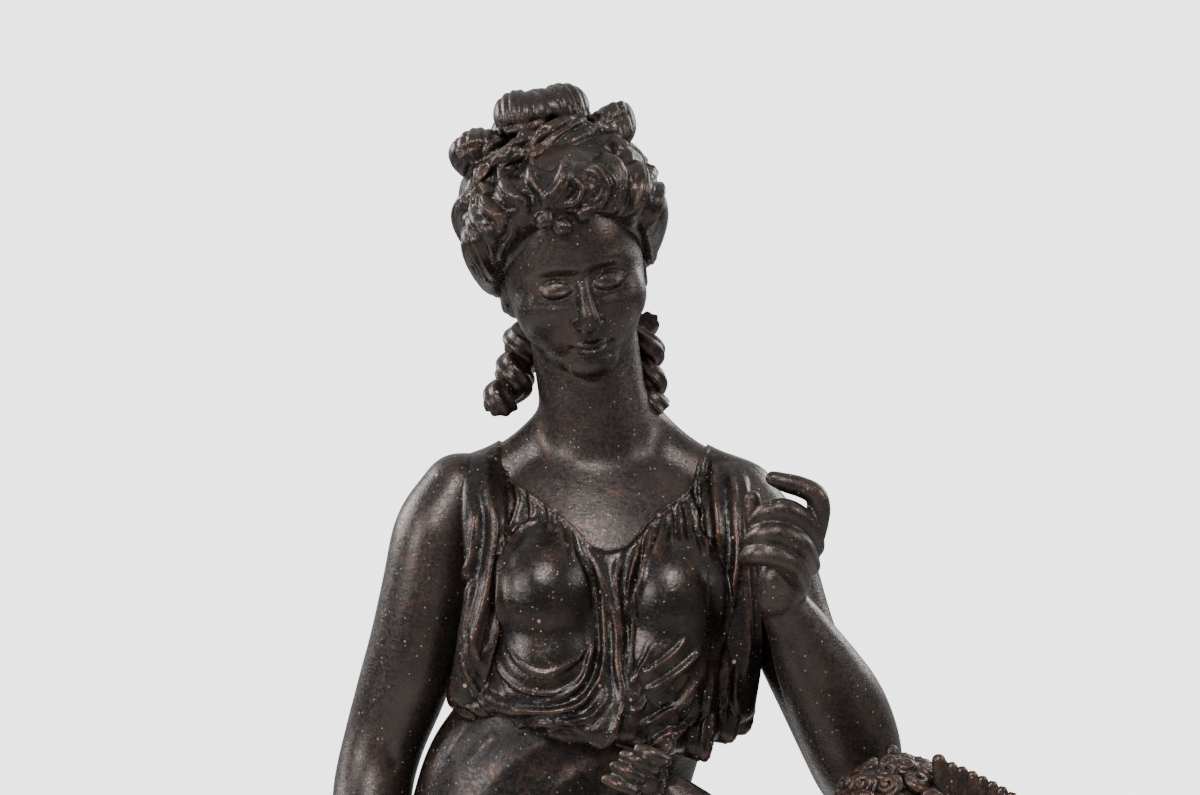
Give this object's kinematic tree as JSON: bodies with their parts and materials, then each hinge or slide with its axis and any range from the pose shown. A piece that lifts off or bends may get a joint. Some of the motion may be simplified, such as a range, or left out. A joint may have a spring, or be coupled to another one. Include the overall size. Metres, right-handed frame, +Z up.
{
  "type": "bronze woman and child sculpture",
  "caption": "Bronze table group: a standing woman in a belted draped dress, with a small winged child on a rock beside her, on an oval moulded plinth.",
  "frame": {"origin": "middle of the underside of the plinth", "axes": "+Z up, -Y towards the front that the woman faces, +X towards the viewer's right, where the child stands"},
  "size_m": [0.276, 0.2142, 0.6253],
  "materials": {
    "bronze": "dark brown patina, semi-gloss, worn reddish brown on the high places"
  },
  "bodies": {
    "root": {"woman": "bronze", "child": "bronze", "base": "bronze"}
  },
  "joints": []
}
